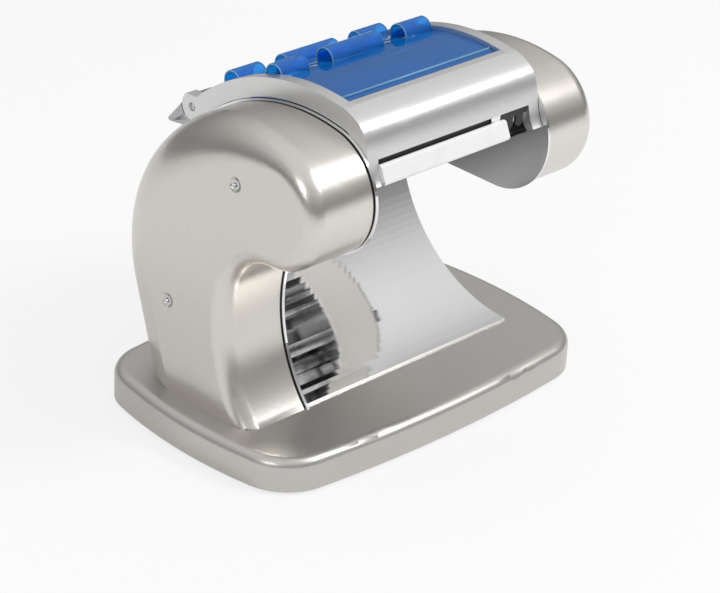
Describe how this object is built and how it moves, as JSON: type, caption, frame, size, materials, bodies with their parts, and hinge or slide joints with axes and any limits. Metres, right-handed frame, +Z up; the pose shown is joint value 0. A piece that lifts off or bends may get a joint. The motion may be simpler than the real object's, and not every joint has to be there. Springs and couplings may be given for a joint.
{
  "type": "electric pasta maker",
  "caption": "Electric pasta maker on a broad base: motor column, sheet rollers set by a side knob, cutters, exit slide, hinged clear blue guard and rocker switch.",
  "frame": {"origin": "middle of the machine on the surface it stands on", "axes": "+X along the rollers to the machine's right, +Y to the rear, +Z up"},
  "size_m": [0.305, 0.203, 0.2497],
  "materials": {
    "casing_paint": "satin metallic paint",
    "base_paint": "satin metallic paint",
    "bottom_steel": "zinc plated",
    "zinc_screw": "zinc plated",
    "foot_rubber": "matte",
    "black_plastic": "matte",
    "plate_chrome": "polished",
    "slide_chrome": "mirror polished",
    "post_steel": "turned",
    "gasket_rubber": "matte",
    "deck_steel": "satin",
    "arm_paint": "satin metallic paint",
    "bar_white": "polished",
    "hood_clear": "clear blue",
    "roller_aluminium": "satin anodised",
    "cutter_steel": "satin",
    "comb_plastic": "matte",
    "bush_plastic": "matte",
    "yoke_steel": "zinc plated",
    "cam_plastic": "matte",
    "knob_plastic": "satin",
    "gear_steel": "machined",
    "gear_plastic": "matte",
    "pinion_brass": "machined",
    "stack_steel": "laminated",
    "coil_tape": "varnished",
    "switch_black": "satin"
  },
  "bodies": {
    "frame": {"base_shell": "base_paint", "base_bottom_plate": "bottom_steel", "base_screws": "zinc_screw", "rubber_feet": "foot_rubber", "power_inlet": "black_plastic", "left_side_plate": "plate_chrome", "right_side_plate": "plate_chrome", "left_casing": "casing_paint", "cover_screws": "zinc_screw", "cover_posts": "post_steel", "cover_gaskets": "gasket_rubber", "right_cap": "casing_paint", "pasta_slide": "slide_chrome", "front_deck": "deck_steel", "rear_deck": "deck_steel", "rear_cover": "plate_chrome", "tie_rods": "post_steel", "guard_pivot_pins": "post_steel", "narrow_combs": "comb_plastic", "wide_combs": "comb_plastic", "bearing_bushes": "bush_plastic", "gearbox_plate": "bottom_steel", "gearbox_pillars": "post_steel", "reduction_axles": "post_steel", "motor_stack": "stack_steel", "motor_coil": "coil_tape", "motor_bracket": "yoke_steel", "motor_mounts": "post_steel", "switch_housing": "switch_black"},
    "guard": {"guard_arm_left": "arm_paint", "guard_arm_right": "arm_paint", "front_beam": "arm_paint", "deflector_bar": "bar_white", "finger_strip": "comb_plastic", "guard_hood": "hood_clear"},
    "rocker": {"power_rocker": "switch_black"},
    "knob": {"thickness_knob": "knob_plastic", "thickness_cam": "cam_plastic"},
    "carriage": {"adjusting_yoke": "yoke_steel", "adjusting_bush_left": "bush_plastic"},
    "fixed_roller_set": {"fixed_roller": "roller_aluminium", "fixed_roller_gear": "gear_steel", "transfer_gear": "gear_steel", "main_gear": "gear_steel"},
    "adjustable_roller_set": {"adjustable_roller": "roller_aluminium", "adjustable_roller_gear": "gear_steel"},
    "narrow_lower_set": {"narrow_cutter_lower": "cutter_steel", "narrow_pair_gear_driving": "gear_steel", "narrow_drive_gear": "gear_steel"},
    "narrow_upper_set": {"narrow_cutter_upper": "cutter_steel", "narrow_pair_gear_driven": "gear_steel"},
    "wide_front_set": {"wide_cutter_front": "cutter_steel", "wide_pair_gear_driving": "gear_steel", "wide_drive_gear": "gear_steel"},
    "wide_rear_set": {"wide_cutter_rear": "cutter_steel", "wide_pair_gear_driven": "gear_steel"},
    "second_reduction": {"second_reduction_gear": "gear_plastic"},
    "first_reduction": {"first_reduction_gear": "gear_plastic"},
    "rotor": {"motor_rotor": "stack_steel", "motor_pinion": "pinion_brass"}
  },
  "joints": [
    {"name": "guard_hinge", "type": "hinge", "parent": "frame", "child": "guard", "pos_m": [0, 0.0774, 0.1991], "axis": [-1, 0, 0], "range_deg": [0, 70]},
    {"name": "rocker_switch", "type": "hinge", "parent": "frame", "child": "rocker", "pos_m": [-0.1005, 0.08085, 0.056], "axis": [-1, 0, 0], "range_deg": [0, 16]},
    {"name": "thickness_turn", "type": "hinge", "parent": "frame", "child": "knob", "pos_m": [0.136, 0.012, 0.188], "axis": [1, 0, 0], "range_deg": [0, 200]},
    {"name": "roller_gap", "type": "slide", "parent": "frame", "child": "carriage", "axis": [0, 1, 0], "range_m": [0, 0.0024]},
    {"name": "rotor_spin", "type": "hinge", "parent": "frame", "child": "rotor", "pos_m": [0, 0.02888, 0.09947], "axis": [1, 0, 0], "continuous": true},
    {"name": "first_reduction_spin", "type": "hinge", "parent": "frame", "child": "first_reduction", "pos_m": [0, 0.02088, 0.13559], "axis": [1, 0, 0], "continuous": true},
    {"name": "second_reduction_spin", "type": "hinge", "parent": "frame", "child": "second_reduction", "pos_m": [0, 0.00297, 0.16711], "axis": [1, 0, 0], "continuous": true},
    {"name": "fixed_roller_spin", "type": "hinge", "parent": "frame", "child": "fixed_roller_set", "pos_m": [0, -0.009, 0.2], "axis": [1, 0, 0], "continuous": true},
    {"name": "adjustable_roller_spin", "type": "hinge", "parent": "carriage", "child": "adjustable_roller_set", "pos_m": [0, 0.018, 0.2], "axis": [1, 0, 0], "continuous": true},
    {"name": "narrow_lower_spin", "type": "hinge", "parent": "frame", "child": "narrow_lower_set", "pos_m": [0, -0.0515, 0.1954], "axis": [1, 0, 0], "continuous": true},
    {"name": "narrow_upper_spin", "type": "hinge", "parent": "frame", "child": "narrow_upper_set", "pos_m": [0, -0.06798, 0.20998], "axis": [1, 0, 0], "continuous": true},
    {"name": "wide_front_spin", "type": "hinge", "parent": "frame", "child": "wide_front_set", "pos_m": [0, 0.03701, 0.178], "axis": [1, 0, 0], "continuous": true},
    {"name": "wide_rear_spin", "type": "hinge", "parent": "frame", "child": "wide_rear_set", "pos_m": [0, 0.05901, 0.178], "axis": [1, 0, 0], "continuous": true}
  ],
  "couplings": [
    {"joint": "thickness_turn", "follows": "roller_gap", "rad_per_m": 1454.4},
    {"joint": "first_reduction_spin", "follows": "rotor_spin", "ratio": -0.15625},
    {"joint": "second_reduction_spin", "follows": "rotor_spin", "ratio": 0.040761},
    {"joint": "fixed_roller_spin", "follows": "rotor_spin", "ratio": -0.011117},
    {"joint": "adjustable_roller_spin", "follows": "rotor_spin", "ratio": 0.011117},
    {"joint": "narrow_lower_spin", "follows": "rotor_spin", "ratio": 0.019057},
    {"joint": "narrow_upper_spin", "follows": "rotor_spin", "ratio": -0.019057},
    {"joint": "wide_front_spin", "follows": "rotor_spin", "ratio": 0.012506},
    {"joint": "wide_rear_spin", "follows": "rotor_spin", "ratio": -0.012506}
  ]
}
